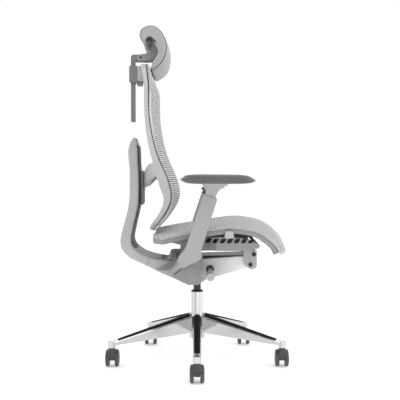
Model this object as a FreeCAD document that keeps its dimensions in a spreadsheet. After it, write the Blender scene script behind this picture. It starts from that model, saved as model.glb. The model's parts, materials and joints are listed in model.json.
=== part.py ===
import FreeCAD, Part
import math
import os

# Ergonomic mesh chair, millimetres. The sitter faces +X and +Z is up. The origin is on the column
# axis at floor level. The sitter's right side is -Y, and one base leg points along -Y.

Vector = FreeCAD.Vector
doc = FreeCAD.newDocument("mesh_chair")

# ---------------------------------------------------------------------------- driving dimensions
SIZES = {
    "base_radius": 320.0,
    "leg_count": 5.0,
    "hub_top": 179.0,
    "hub_bottom": 88.0,
    "tube_diameter": 47.0,
    "tube_top": 258.0,
    "cylinder_diameter": 28.0,
    "cylinder_top": 372.0,
    "wheel_diameter": 58.0,
    "wheel_width": 14.0,
    "wheel_gap": 21.0,
    "caster_trail": 18.0,
    "pivot_height": 337.0,
    "pivot_setback": 18.5,
    "pin_diameter": 16.0,
    "housing_width": 164.0,
    "cheek_gap": 168.0,
    "arm_width": 198.0,
    "cover_width": 214.0,
    "boot_diameter": 25.0,
    "link_outer_width": 190.0,
    "link_thickness": 5.0,
    "rail_outer_width": 178.4,
    "rail_inner_width": 165.2,
    "seat_width": 500.0,
    "seat_crown": 19.0,
    "seat_bow": 26.0,
    "back_width": 470.0,
    "spine_top_width": 135.0,
    "track_width": 90.0,
    "bar_width": 28.0,
    "head_width": 290.0,
    "arm_centre": 298.0,
    "arm_pad_width": 94.0,
    "arm_lean": 17.7,
    "sleeve_width": 38.0,
    "post_width": 22.0,
    "running_gap": 0.05,
    "body_gap": 0.4,
}

sheet = doc.addObject("Spreadsheet::Sheet", "Sizes")
for row, (alias, value) in enumerate(SIZES.items(), start=1):
    sheet.set(f"A{row}", alias)
    sheet.set(f"B{row}", str(value))
    sheet.setAlias(f"B{row}", alias)
doc.recompute()


def size(alias):
    return float(sheet.get(alias))


# Sub-parts by node name, in the order they are made.
NODES = {}


def keep(feature, label):
    feature.Label = label
    NODES[label] = feature
    return feature


# ---------------------------------------------------------------------------- outline geometry
def rounded(corners):
    """Closed outline of straight sides, from (x, y, radius) corners."""
    geometry = []
    ends = []
    count = len(corners)
    for index, (x, y, radius) in enumerate(corners):
        here = Vector(x, y, 0)
        before = Vector(*corners[index - 1][:2], 0)
        after = Vector(*corners[(index + 1) % count][:2], 0)
        if radius <= 0:
            ends.append((here, here))
            continue
        to_before = (before - here).normalize()
        to_after = (after - here).normalize()
        half = to_before.getAngle(to_after) / 2
        reach = radius / math.tan(half)
        centre = here + (to_before + to_after).normalize() * (radius / math.sin(half))
        first = here + to_before * reach
        last = here + to_after * reach
        middle = centre + (here - centre).normalize() * radius
        geometry.append(Part.Arc(first, middle, last))
        ends.append((first, last))
    for index in range(count):
        start = ends[index][1]
        end = ends[(index + 1) % count][0]
        if start.distanceToPoint(end) > 1e-6:
            geometry.append(Part.LineSegment(start, end))
    return geometry


def polygon(points):
    return rounded([(x, y, 0) for x, y in points])


def spline(points):
    curve = Part.BSplineCurve()
    curve.interpolate([Vector(x, y, 0) for x, y in points])
    return curve


def line(start, end):
    return Part.LineSegment(Vector(*start, 0), Vector(*end, 0))


def ribbon(front, rear):
    """Closed outline between two open curves that run the same way."""
    return [spline(front), line(front[-1], rear[-1]), spline(rear[::-1]), line(rear[0], front[0])]


def offset(points, distance):
    """Points moved to the left of the direction of travel by distance."""
    moved = []
    for index, (x, y) in enumerate(points):
        x0, y0 = points[max(index - 1, 0)]
        x1, y1 = points[min(index + 1, len(points) - 1)]
        length = math.hypot(x1 - x0, y1 - y0)
        moved.append((x - (y1 - y0) / length * distance, y + (x1 - x0) / length * distance))
    return moved


def resample(points, count):
    """Evenly spaced points on the smooth curve through the given points."""
    curve = spline(points)
    return [(p.x, p.y) for p in curve.discretize(Number=count)]


# ---------------------------------------------------------------------------- feature helpers
def new_body(label):
    return keep(doc.addObject("PartDesign::Body", label + "_body"), label)


def sketch(body, role, name, geometry, at=None):
    """Sketch on an origin plane; at is an expression for its distance along the plane's normal."""
    made = body.newObject("Sketcher::SketchObject", name)
    plane = next(f for f in body.Origin.OriginFeatures if f.Role == role)
    made.AttachmentSupport = [(plane, "")]
    made.MapMode = "FlatFace"
    made.addGeometry(geometry, False)
    if at is not None:
        made.setExpression("AttachmentOffset.Base.z", at)
    return made


def bind(feature, **expressions):
    for name, expression in expressions.items():
        feature.setExpression(name, expression)
    return feature


def pad(body, profile, length, side="Symmetric", reverse=False):
    made = body.newObject("PartDesign::Pad", profile.Name + "_pad")
    made.Profile = profile
    made.SideType = side
    made.Reversed = reverse
    made.setExpression("Length", length)
    profile.Visibility = False
    doc.recompute()
    return made


def pocket(body, profile, length, side="Symmetric", reverse=False):
    made = body.newObject("PartDesign::Pocket", profile.Name + "_pocket")
    made.Profile = profile
    made.SideType = side
    made.Reversed = reverse
    made.setExpression("Length", length)
    before = body.Shape.Volume
    doc.recompute()
    if made.Shape.Volume > before - 1.0:
        raise RuntimeError("pocket cuts nothing: " + made.Name)
    return made


def loft(body, sections, ruled=False):
    made = body.newObject("PartDesign::AdditiveLoft", sections[0].Name + "_loft")
    made.Profile = sections[0]
    made.Sections = sections[1:]
    made.Ruled = ruled
    doc.recompute()
    return made


def around(body, feature, axis_role, count_expression):
    pattern = body.newObject("PartDesign::PolarPattern", feature.Name + "_pattern")
    pattern.Originals = [feature]
    axis = next(f for f in body.Origin.OriginFeatures if f.Role == axis_role)
    pattern.Axis = (axis, [""])
    pattern.Angle = 360
    pattern.setExpression("Occurrences", count_expression)
    body.Tip = pattern
    doc.recompute()
    return pattern


def cylinder(name, radius, height, place, axis="z"):
    made = doc.addObject("Part::Cylinder", name)
    bind(made, Radius=radius, Height=height)
    turns = {"z": FreeCAD.Rotation(), "y": FreeCAD.Rotation(Vector(1, 0, 0), -90),
             "x": FreeCAD.Rotation(Vector(0, 1, 0), 90)}
    made.Placement = FreeCAD.Placement(Vector(*place), turns[axis])
    return made


def box(name, low, high):
    made = doc.addObject("Part::Box", name)
    made.Length = high[0] - low[0]
    made.Width = high[1] - low[1]
    made.Height = high[2] - low[2]
    made.Placement = FreeCAD.Placement(Vector(*low), FreeCAD.Rotation())
    return made


def cut(name, base, *tools):
    made = doc.addObject("Part::Cut", name)
    made.Base = base
    made.Tool = tools[0] if len(tools) == 1 else fuse(name + "_tools", *tools)
    return made


def fuse(name, *shapes):
    made = doc.addObject("Part::MultiFuse", name)
    made.Shapes = list(shapes)
    return made


def group(name, *shapes):
    made = doc.addObject("Part::Compound", name)
    made.Links = list(shapes)
    return made


def revolve(name, geometry, place, axis=Vector(0, 0, 1)):
    """Solid of revolution; the outline is drawn as (radius, distance along the axis)."""
    edges = [g.toShape() for g in geometry]
    face = Part.Face(Part.Wire(Part.__sortEdges__(edges)))
    solid = face.revolve(Vector(0, 0, 0), Vector(0, 1, 0), 360)
    turn = FreeCAD.Rotation(Vector(0, 1, 0), axis)
    made = doc.addObject("Part::Feature", name)
    made.Shape = solid
    made.Placement = FreeCAD.Placement(Vector(*place), turn)
    return made


GAP = size("body_gap")
FIT = size("running_gap")
PIVOT = (-size("pivot_setback"), size("pivot_height"))
REAR_PIVOT = (-85.0, 398.0)
LINK_LOWER = (190.0, 367.0)
LINK_UPPER = (202.0, 404.0)
LEVER = (46.0, 350.0)
LEVER_PIVOT = 84.5


# ---------------------------------------------------------------------------- five-star base
LEG_START = 14.0
LEG_END = 324.0


def leg_section(distance):
    """Half-widths and heights of a leg at a distance from the column: foot, shoulder and top."""
    t = (distance - LEG_START) / (LEG_END - LEG_START)

    def between(hub, tip):
        return hub + (tip - hub) * t

    foot = (between(13.0, 9.0), between(108.0, 78.0))
    shoulder = (between(19.0, 13.0), between(167.0, 86.5))
    top = (between(7.5, 7.0), between(180.0, 91.5))
    return foot, shoulder, top


def leg_outline(distance):
    foot, shoulder, top = leg_section(distance)
    right = [foot, shoulder, top]
    left = [(-y, z) for y, z in right[::-1]]
    return polygon(right + left)


def inlay_outline(distance):
    """Cap over the leg's top strip and the upper part of its bevels."""
    foot, shoulder, top = leg_section(distance)
    low = [top[i] + (shoulder[i] - top[i]) * 0.55 for i in range(2)]
    thickness = 1.4
    outer = [(low[0], low[1] + thickness), (top[0] + 0.4, top[1] + thickness)]
    inner = [(top[0], top[1]), (low[0], low[1])]
    right = [inner[0], inner[1], outer[0], outer[1]]
    left = [(-y, z) for y, z in right[::-1]]
    return polygon(right + left)


def make_star_base():
    body = new_body("star_base")
    hub = sketch(body, "XY_Plane", "hub_ring", [Part.Circle(Vector(0, 0, 0), Vector(0, 0, 1), 28.0)],
                 "Sizes.hub_bottom")
    pad(body, hub, "Sizes.hub_top - Sizes.hub_bottom", "One side")
    root = sketch(body, "YZ_Plane", "leg_root", leg_outline(LEG_START), f"{LEG_START}")
    tip = sketch(body, "YZ_Plane", "leg_tip", leg_outline(LEG_END), f"{LEG_END}")
    leg = loft(body, [root, tip], ruled=True)
    around(body, leg, "Z_Axis", "Sizes.leg_count")
    radius = size("base_radius")
    boss = sketch(body, "XY_Plane", "stem_boss",
                  [Part.Circle(Vector(radius, 0, 0), Vector(0, 0, 1), 14.0)], "71.5")
    boss_pad = pad(body, boss, "21.5", "One side")
    around(body, boss_pad, "Z_Axis", "Sizes.leg_count")
    bore = sketch(body, "XY_Plane", "tube_bore",
                  [Part.Circle(Vector(0, 0, 0), Vector(0, 0, 1), size("tube_diameter") / 2)],
                  "Sizes.hub_bottom - 1")
    pocket(body, bore, "Sizes.hub_top", "One side", reverse=True)
    socket = sketch(body, "XY_Plane", "stem_socket",
                    [Part.Circle(Vector(radius, 0, 0), Vector(0, 0, 1), 5.5 + FIT)], "70")
    socket_cut = pocket(body, socket, "18", "One side", reverse=True)
    around(body, socket_cut, "Z_Axis", "Sizes.leg_count")
    body.Placement = FreeCAD.Placement(Vector(0, 0, 0), FreeCAD.Rotation(Vector(0, 0, 1), -90))


def make_leg_inlays():
    strips = []
    for index in range(int(size("leg_count"))):
        wires = []
        for distance in (31.0, 298.0):
            edges = [g.toShape() for g in inlay_outline(distance)]
            wire = Part.Wire(Part.__sortEdges__(edges))
            matrix = FreeCAD.Matrix(0, 0, 1, distance, 1, 0, 0, 0, 0, 1, 0, 0, 0, 0, 0, 1)
            wires.append(wire.transformGeometry(matrix))
        strip = doc.addObject("Part::Feature", f"inlay_{index + 1}")
        strip.Shape = Part.makeLoft(wires, True, True)
        angle = -90 + index * 360 / size("leg_count")
        strip.Placement = FreeCAD.Placement(Vector(0, 0, 0), FreeCAD.Rotation(Vector(0, 0, 1), angle))
        strips.append(strip)
    keep(group("inlays", *strips), "leg_inlays")


def make_lift():
    tube = cylinder("tube_outer", "Sizes.tube_diameter / 2", "Sizes.tube_top - 90", (0, 0, 90))
    bore = cylinder("tube_hollow", "Sizes.tube_diameter / 2 - 2.5", "Sizes.tube_top", (0, 0, 93))
    keep(cut("tube", tube, bore), "lift_tube")
    sleeve = cylinder("bush_sleeve", "Sizes.tube_diameter / 2 - 2.6", "98", (0, 0, 160))
    flange = revolve("bush_flange", polygon([(0, 258), (23.5, 258), (23.5, 260), (18.0, 264.5), (0, 264.5)]),
                     (0, 0, 0))
    hole = cylinder("bush_bore", "Sizes.cylinder_diameter / 2 + Sizes.running_gap", "120", (0, 0, 155))
    keep(cut("collar", fuse("collar_solid", sleeve, flange), hole), "lift_collar")
    keep(cylinder("cylinder_rod", "Sizes.cylinder_diameter / 2", "Sizes.cylinder_top - 190", (0, 0, 190)),
         "gas_cylinder")


# ---------------------------------------------------------------------------- casters
AXLE_Z = size("wheel_diameter") / 2
WHEEL_INNER = size("wheel_gap") / 2
WHEEL_OUTER = WHEEL_INNER + size("wheel_width")


def make_hood(index):
    """Hood with a web between the wheels, a fender over them and a neck round the stem."""
    body = new_body(f"caster_{index}_hood")
    trail = size("caster_trail")
    web = sketch(body, "YZ_Plane", f"web_{index}",
                 rounded([(trail - 25, 24.5, 4), (trail + 25, 24.5, 4), (trail + 24, 52, 8),
                          (trail + 8, 61, 8), (-9, 64, 2), (-13, 60, 4)]))
    pad(body, web, "Sizes.wheel_gap - 2 * Sizes.body_gap")

    def over_wheels(radius, angles):
        turned = [math.radians(a) for a in angles]
        return [(trail + radius * math.cos(a), AXLE_Z + radius * math.sin(a)) for a in turned]

    outer = over_wheels(33.5, range(18, 163, 16))
    inner = over_wheels(30.4, range(162, 17, -16))
    fender = sketch(body, "YZ_Plane", f"fender_{index}",
                    [spline(outer), line(outer[-1], inner[0]), spline(inner), line(inner[-1], outer[0])])
    pad(body, fender, "46")
    neck = sketch(body, "XY_Plane", f"neck_{index}",
                  [Part.Circle(Vector(0, 0, 0), Vector(0, 0, 1), 12.0)], "58")
    pad(body, neck, "12.5", "One side")
    stem = sketch(body, "XY_Plane", f"stem_hole_{index}",
                  [Part.Circle(Vector(0, 0, 0), Vector(0, 0, 1), 5.5)], "50")
    pocket(body, stem, "30", "One side", reverse=True)
    axle = sketch(body, "YZ_Plane", f"axle_hole_{index}",
                  [Part.Circle(Vector(trail, AXLE_Z, 0), Vector(0, 0, 1), 4.0)])
    pocket(body, axle, "60")
    return body


def make_casters():
    trail = size("caster_trail")
    profile = [(4.0 + FIT, WHEEL_INNER), (AXLE_Z - 1.5, WHEEL_INNER), (AXLE_Z, WHEEL_INNER + 2),
               (AXLE_Z, WHEEL_OUTER - 4), (26.0, WHEEL_OUTER - 1.3), (18.0, WHEEL_OUTER + 0.1),
               (8.0, WHEEL_OUTER + 0.5), (7.0, WHEEL_OUTER - 0.3), (4.0 + FIT, WHEEL_OUTER - 0.3)]
    for index in range(1, int(size("leg_count")) + 1):
        angle = math.radians(-90 + (index - 1) * 360 / size("leg_count"))
        x = size("base_radius") * math.cos(angle)
        y = size("base_radius") * math.sin(angle)
        place = FreeCAD.Placement(Vector(x, y, 0), FreeCAD.Rotation())
        hood = make_hood(index)
        hood.Placement = place
        stem = cylinder(f"stem_{index}", "5.5", "36", (x, y, 50))
        axle = cylinder(f"axle_{index}", "4.0", "48", (x - 24, y + trail, AXLE_Z), "x")
        keep(group(f"pins_{index}", stem, axle), f"caster_{index}_pins")
        wheels = []
        for side in (1, -1):
            wheels.append(revolve(f"wheel_{index}_{'a' if side > 0 else 'b'}", polygon(profile),
                                  (x, y + trail, AXLE_Z), Vector(side, 0, 0)))
        keep(group(f"wheel_pair_{index}", *wheels), f"caster_{index}_wheels")


# ---------------------------------------------------------------------------- tilt mechanism
HOUSING = [(-46, 318, 6), (-34, 296, 8), (9, 296, 8), (33, 312, 6), (178, 353, 10), (198, 358, 8),
           (203, 384, 8), (183, 399, 4), (20, 388, 20), (-8, 392, 6), (-52, 372, 12)]


def make_housing():
    body = new_body("mech_housing")
    side = sketch(body, "XZ_Plane", "housing_side", rounded(HOUSING))
    pad(body, side, "Sizes.housing_width")
    for name, low, high in (("spring_bay", 24.0, 172.0), ("pivot_bay", -44.0, -17.0)):
        inside = sketch(body, "XZ_Plane", name,
                        polygon([(low, 322 + max(0, low) * 0.25), (high, 322 + max(0, high) * 0.25),
                                 (high, 410), (low, 410)]))
        pocket(body, inside, "Sizes.housing_width - 14")
    socket = sketch(body, "XY_Plane", "cylinder_socket",
                    [Part.Circle(Vector(0, 0, 0), Vector(0, 0, 1), size("cylinder_diameter") / 2 + FIT)],
                    "290")
    pocket(body, socket, "Sizes.cylinder_top - 290 + 1", "One side", reverse=True)
    holes = sketch(body, "XZ_Plane", "cross_bores",
                   [Part.Circle(Vector(PIVOT[0], PIVOT[1], 0), Vector(0, 0, 1), size("pin_diameter") / 2),
                    Part.Circle(Vector(LINK_LOWER[0], LINK_LOWER[1], 0), Vector(0, 0, 1), 5.0 + FIT),
                    Part.Circle(Vector(*LEVER, 0), Vector(0, 0, 1), 12.0)])
    pocket(body, holes, "Sizes.housing_width + 10")


def make_mechanism():
    make_housing()
    pins = []
    covers = []
    boots = []
    half_cover = size("cover_width") / 2
    for side, tag in ((-1, "r"), (1, "l")):
        inner = 50.0
        outer = half_cover - 1.0
        start = -outer if side < 0 else inner
        pins.append(cylinder(f"tilt_pin_{tag}", "Sizes.pin_diameter / 2", f"{outer - inner}",
                             (PIVOT[0], start, PIVOT[1]), "y"))
    keep(group("tilt_pin_pair", *pins), "tilt_pins")
    outline = rounded([(-62, 310, 6), (-32, 296, 12), (8, 296, 10), (14, 318, 4), (13, 392, 8), (1, 396, 2),
                       (-86, 327.5, 3)])
    for side, tag in ((-1, "r"), (1, "l")):
        start = side * (size("arm_width") / 2 + GAP)
        depth = side * (half_cover - size("arm_width") / 2 - GAP)
        edges = [g.toShape() for g in outline]
        face = Part.Face(Part.Wire(Part.__sortEdges__(edges)))
        face.rotate(Vector(0, 0, 0), Vector(1, 0, 0), 90)
        face.translate(Vector(0, start, 0))
        plate = doc.addObject("Part::Feature", f"cover_plate_{tag}")
        plate.Shape = face.extrude(Vector(0, depth, 0))
        hole = cylinder(f"cover_hole_{tag}", "Sizes.pin_diameter / 2 + Sizes.running_gap", "260",
                        (PIVOT[0], -130, PIVOT[1]), "y")
        covers.append(cut(f"cover_{tag}", plate, hole))
        boot = cylinder(f"boot_ring_{tag}", "Sizes.boot_diameter / 2", "5",
                        (LEVER[0], 82 if side > 0 else -87, LEVER[1]), "y")
        bore = cylinder(f"boot_bore_{tag}", "9", "20", (LEVER[0], 73 if side > 0 else -93, LEVER[1]), "y")
        boots.append(cut(f"boot_{tag}", boot, bore))
    keep(group("cover_pair", *covers), "pivot_covers")
    keep(group("boot_pair", *boots), "lever_boots")
    helix = Part.makeHelix(11.0, 110.0, 15.0)
    section = Part.Wire([Part.Circle(Vector(15.0, 0, 0), Vector(0, 1, 0), 2.6).toShape()])
    spring = doc.addObject("Part::Feature", "spring_coil")
    spring.Shape = Part.Wire(helix.Edges).makePipeShell([section], True, True)
    lean = math.degrees(math.atan2(0.25, 1.0))
    spring.Placement = FreeCAD.Placement(Vector(36, 0, 350.5), FreeCAD.Rotation(Vector(0, 1, 0), 90 - lean))
    keep(spring, "tilt_spring")


def make_levers():
    """Height lever on the right side, tilt lock on the left, each a shaft with a round handle."""
    x, z = LEVER
    for side, label in ((-1, "height_lever"), (1, "tilt_lock_lever")):
        shaft = cylinder(label + "_shaft", "5", "76", (x, -154 if side < 0 else 78, z), "y")
        web = box(label + "_web", (x - 8, min(side * 146, side * 158), z - 14),
                  (x + 8, max(side * 146, side * 158), z + 4))
        handle = revolve(label + "_handle",
                         rounded([(0, 0, 0), (14.5, 0, 4), (14.5, 52, 3), (0, 52, 0)]),
                         (x, side * 146, z - 14), Vector(0, side, 0))
        rocker = cylinder(label + "_rocker", "5.6", "10", (x - 5, side * LEVER_PIVOT, z), "x")
        keep(fuse(label + "_solid", shaft, web, handle, rocker), label)


# ---------------------------------------------------------------------------- links and carrier
def make_links():
    half = size("link_outer_width") / 2
    thick = size("link_thickness")
    outline = rounded([(213, 419, 3), (213, 357, 9), (190, 348, 14), (164, 372, 16), (166, 419, 3)])
    plates = []
    bolts = []
    for side, tag in ((-1, "r"), (1, "l")):
        face = Part.Face(Part.Wire(Part.__sortEdges__([g.toShape() for g in outline])))
        face.rotate(Vector(0, 0, 0), Vector(1, 0, 0), 90)
        face.translate(Vector(0, side * half, 0))
        plate = doc.addObject("Part::Feature", f"link_plate_{tag}")
        plate.Shape = face.extrude(Vector(0, -side * thick, 0))
        holes = []
        for place, end in ((LINK_LOWER, "low"), (LINK_UPPER, "high")):
            holes.append(cylinder(f"link_hole_{end}_{tag}", "5", "260", (place[0], -130, place[1]), "y"))
            start = -half - 4 if side < 0 else half - 30
            bolt = cylinder(f"link_shank_{end}_{tag}", "5", "34", (place[0], start, place[1]), "y")
            head = revolve(f"link_head_{end}_{tag}",
                           rounded([(0, 0, 0), (7.2, 0, 0), (7.2, 4.4, 1.5), (3.2, 4.4, 0), (3.2, 2.0, 0),
                                    (0, 2.0, 0)]),
                           (place[0], side * half, place[1]), Vector(0, side, 0))
            short = box(f"link_trim_{end}_{tag}",
                        (place[0] - 9, side * half if side > 0 else -half - 9, place[1] - 9),
                        (place[0] + 9, half + 9 if side > 0 else -half, place[1] + 9))
            bolts.append(fuse(f"link_bolt_{end}_{tag}", cut(f"link_stud_{end}_{tag}", bolt, short), head))
        plates.append(cut(f"link_{tag}", plate, *holes))
    keep(group("link_pair", *plates), "front_links")
    keep(group("link_bolt_set", *bolts), "link_bolts")


def make_carrier():
    """Side plates over the housing, cross bars between them, and an eye for the rear pin."""
    body = new_body("seat_carrier")
    side = sketch(body, "XZ_Plane", "plate_side",
                  rounded([(-96, 388.5, 7), (-74, 388.5, 7), (-66, 398, 6), (176, 401, 3), (190, 394, 6),
                           (213, 394, 6), (213, 415.4, 4), (20, 410.5, 10), (-92, 409.5, 5)]))
    pad(body, side, "Sizes.rail_outer_width")
    inner = size("rail_inner_width") / 2
    middle = sketch(body, "XY_Plane", "plate_gap",
                    rounded([(-50, -inner, 4), (189, -inner, 4), (189, inner, 4), (-50, inner, 4)]), "380")
    pocket(body, middle, "50", "One side", reverse=True)
    below = sketch(body, "XY_Plane", "front_bar_relief",
                   polygon([(180, -inner), (220, -inner), (220, inner), (180, inner)]), "380")
    pocket(body, below, "21.5", "One side", reverse=True)
    outer = size("rail_outer_width") / 2
    for name, side in (("rear_notch_r", -1), ("rear_notch_l", 1)):
        notch = sketch(body, "XY_Plane", name,
                       polygon([(-110, side * 61), (-62, side * 61), (-62, side * (outer + 1)),
                                (-110, side * (outer + 1))]), "380")
        pocket(body, notch, "50", "One side", reverse=True)
    holes = sketch(body, "XZ_Plane", "carrier_holes",
                   [Part.Circle(Vector(*LINK_UPPER, 0), Vector(0, 0, 1), 5.0 + FIT),
                    Part.Circle(Vector(*REAR_PIVOT, 0), Vector(0, 0, 1), 5.0)])
    pocket(body, holes, "Sizes.rail_outer_width + 10")
    keep(cylinder("rear_pin", "5", "150", (REAR_PIVOT[0], -75, REAR_PIVOT[1]), "y"), "carrier_pin")


# ---------------------------------------------------------------------------- seat
# Side line of the seat's top at its rim: share of the depth from the rear edge, and height.
SEAT_LINE = [(0.0, 480), (0.12, 491), (0.29, 504), (0.45, 513), (0.6, 518), (0.73, 512), (0.83, 499),
             (0.915, 475), (0.97, 452), (0.995, 428)]
SEAT_REAR = -155.0
SEAT_FRONT = 317.0
HALF_STATIONS = (0.15, 0.3, 0.45, 0.6, 0.72, 0.8, 0.86, 0.91, 0.95, 0.98, 1.0)
STATIONS = tuple(-share for share in HALF_STATIONS[::-1]) + (0.0,) + HALF_STATIONS


def seat_points(share):
    """Top line of the seat at a share of its half-width, with the crown and the bowed ends."""
    across = abs(share)
    front = SEAT_FRONT - size("seat_bow") * across ** 2.2 - 8 * max(0.0, across - 0.8) / 0.2
    rear = SEAT_REAR + 34 * max(0.0, across - 0.8) / 0.2
    crown = size("seat_crown") * (1 - across ** 2)
    points = []
    for t, z in SEAT_LINE:
        lift = crown * min(1.0, max(0.0, (t - 0.35) / 0.3)) * min(1.0, (1.0 - t) / 0.12 + 0.2)
        points.append((rear + t * (front - rear), z + lift))
    return points


def seat_shell(body, tag, upper, lower):
    """Loft across the seat between two depths under its top line."""
    sections = []
    for index, share in enumerate(STATIONS):
        line_points = seat_points(share)
        inset = 3.0 if abs(share) == 1.0 else 0.0
        outline = ribbon(offset(line_points, -upper - inset), offset(line_points, -lower + inset))
        sections.append(sketch(body, "XZ_Plane", f"{tag}_station_{index + 1}", outline,
                               f"-Sizes.seat_width / 2 * {share}"))
    return loft(body, sections, ruled=True)


def make_seat():
    mesh = new_body("seat_mesh")
    seat_shell(mesh, "seat_mesh", 0.0, 8.0)
    rim = new_body("seat_rim")
    seat_shell(rim, "seat_rim", 8.6, 30.0)
    opening = sketch(rim, "XY_Plane", "rim_opening",
                     rounded([(-122, -212, 40), (246, -212, 60), (276, 0, 400), (246, 212, 60),
                              (-122, 212, 40)]),
                     "380")
    pocket(rim, opening, "180", "One side", reverse=True)

    pan = new_body("seat_pan")
    wall = sketch(pan, "XZ_Plane", "pan_side",
                  rounded([(20, 430, 12), (160, 430, 8), (208, 438, 6), (214, 447, 4), (206, 455, 6),
                           (186, 466, 20), (150, 474, 40), (100, 479, 60), (40, 475, 60), (-100, 458, 2)]))
    pad(pan, wall, "470")
    hollow = sketch(pan, "XY_Plane", "pan_hollow",
                    rounded([(-12, -197, 10), (24, -197, 20), (64, -226, 20), (206, -226, 10),
                             (206, 226, 10), (64, 226, 20), (24, 197, 20), (-12, 197, 10)]), "438")
    pocket(pan, hollow, "80", "One side", reverse=True)
    rear_hollow = sketch(pan, "XY_Plane", "pan_rear_hollow",
                         rounded([(-50, -197, 10), (0, -197, 0), (0, 197, 0), (-50, 197, 10)]), "449")
    pocket(pan, rear_hollow, "80", "One side", reverse=True)
    for side, tag in ((-1, "r"), (1, "l")):
        shoulder = sketch(pan, "XY_Plane", f"pan_shoulder_{tag}",
                          polygon([(-110, side * 206), (28, side * 206), (66, side * 236),
                                   (66, side * 250), (-110, side * 250)]), "400")
        pocket(pan, shoulder, "120", "One side", reverse=True)
    slots = []
    for index in range(8):
        x = 26 + index * 24
        slots += polygon([(x, 457), (x + 16, 457), (x + 26, 472), (x + 10, 472)])
    windows = sketch(pan, "XZ_Plane", "pan_windows", slots)
    pocket(pan, windows, "500")
    for name, low, high, height in (("rear_foot", -60, -6, 32), ("front_foot", 96, 160, 18)):
        for side, tag in ((-1, "r"), (1, "l")):
            foot = sketch(pan, "XY_Plane", f"{name}_{tag}",
                          polygon([(low, side * 76), (high, side * 76), (high, side * 89.4),
                                   (low, side * 89.4)]), "417")
            pad(pan, foot, f"{height}", "One side")

    button = new_body("depth_button")
    face = sketch(button, "XZ_Plane", "button_face",
                  rounded([(92, 477, 3), (124, 477, 3), (121, 499, 5), (95, 499, 5)]), "253.5")
    pad(button, face, "6", "One side")
    stem = sketch(button, "XZ_Plane", "button_stem",
                  polygon([(98, 474), (118, 474), (118, 480), (98, 480)]), "239.5")
    pad(button, stem, "14.2", "One side")


# ---------------------------------------------------------------------------- back arm
SPINE_REAR = [(-229, 824), (-241, 803), (-247, 775), (-243, 720), (-242, 670), (-243, 602), (-251, 551),
              (-262, 510), (-270, 478), (-274, 446), (-269, 424), (-254, 404), (-235, 388)]
SPINE_FRONT = [(-221, 821), (-216, 799), (-213, 750), (-211, 711), (-209, 670), (-209, 640), (-211, 583),
               (-219, 542), (-227, 508), (-234, 475), (-236, 450), (-231, 434), (-220, 422)]
LINER = 3.0


def hub_arc(radius, start, end, steps=7):
    angles = [math.radians(start + (end - start) * i / (steps - 1)) for i in range(steps)]
    return [(PIVOT[0] + radius * math.cos(a), PIVOT[1] + radius * math.sin(a)) for a in angles]


def make_spine():
    """J-shaped arm: a tapered upright blade, a bend and two cheeks that end round the tilt pins."""
    body = new_body("spine")
    under = [SPINE_REAR[-1], (-183, 364), (-135, 340), (-61, 309)]
    hub = hub_arc(36, -125, 100)
    over = [hub[-1], (-60, 376), (-95, 381), (-133, 386), (-171, 395), (-200, 407), SPINE_FRONT[-1]]
    side = sketch(body, "XZ_Plane", "spine_side",
                  [spline(SPINE_REAR), spline(under), line(under[-1], hub[0]), spline(hub),
                   spline(over), spline(SPINE_FRONT[::-1]), line(SPINE_FRONT[0], SPINE_REAR[0])])
    pad(body, side, "Sizes.arm_width")
    half = size("arm_width") / 2
    top = size("spine_top_width") / 2
    for tag, sign in (("r", -1), ("l", 1)):
        taper = sketch(body, "YZ_Plane", f"spine_taper_{tag}",
                       [spline([(sign * half, 440), (sign * (half - 6), 500), (sign * (half - 16), 600),
                                (sign * (top + 6), 700), (sign * top, 776), (sign * (top - 14), 808),
                                (sign * (top - 44), 827)]),
                        line((sign * (top - 44), 827), (sign * (top - 44), 850)),
                        line((sign * (top - 44), 850), (sign * (half + 30), 850)),
                        line((sign * (half + 30), 850), (sign * (half + 30), 440)),
                        line((sign * (half + 30), 440), (sign * half, 440))], "-300")
        pocket(body, taper, "200", "One side", reverse=True)
    gap = size("cheek_gap") / 2
    between = sketch(body, "XY_Plane", "cheek_space",
                     rounded([(-72, -gap, 8), (60, -gap, 0), (60, gap, 0), (-72, gap, 8)]), "280")
    pocket(body, between, "160", "One side", reverse=True)
    under_slot = sketch(body, "XY_Plane", "carrier_space",
                        rounded([(-118, -62, 8), (-60, -62, 0), (-60, 62, 0), (-118, 62, 8)]), "280")
    pocket(body, under_slot, "160", "One side", reverse=True)
    ears = sketch(body, "XZ_Plane", "pin_ears",
                  rounded([(-112, 372, 0), (-74, 372, 0), (-74, 392, 4), (-73, 409, 10), (-97, 409, 10)]))
    pad(body, ears, "150")
    gap_cut = sketch(body, "XZ_Plane", "ear_space",
                     rounded([(-130, 360, 0), (-60, 360, 0), (-60, 430, 0), (-130, 430, 0)]))
    pocket(body, gap_cut, "124")
    bores = sketch(body, "XZ_Plane", "arm_bores",
                   [Part.Circle(Vector(*PIVOT, 0), Vector(0, 0, 1), size("pin_diameter") / 2 + FIT)])
    pocket(body, bores, "300")
    slot = sketch(body, "XZ_Plane", "open_pivot",
                  [Part.Circle(Vector(*REAR_PIVOT, 0), Vector(0, 0, 1), 7.0)])
    pocket(body, slot, "160")

    liner = new_body("spine_liner")
    face_line = resample(SPINE_FRONT, 30)[2:]
    back = offset(face_line, 0.2)
    front = offset(face_line, LINER)
    strip = sketch(liner, "XZ_Plane", "liner_side", ribbon(front, back))
    pad(liner, strip, "Sizes.spine_top_width - 12")


ARM_SCREWS = ((-104, 341), (-70, 366))
SWIVEL = 55.0


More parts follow.
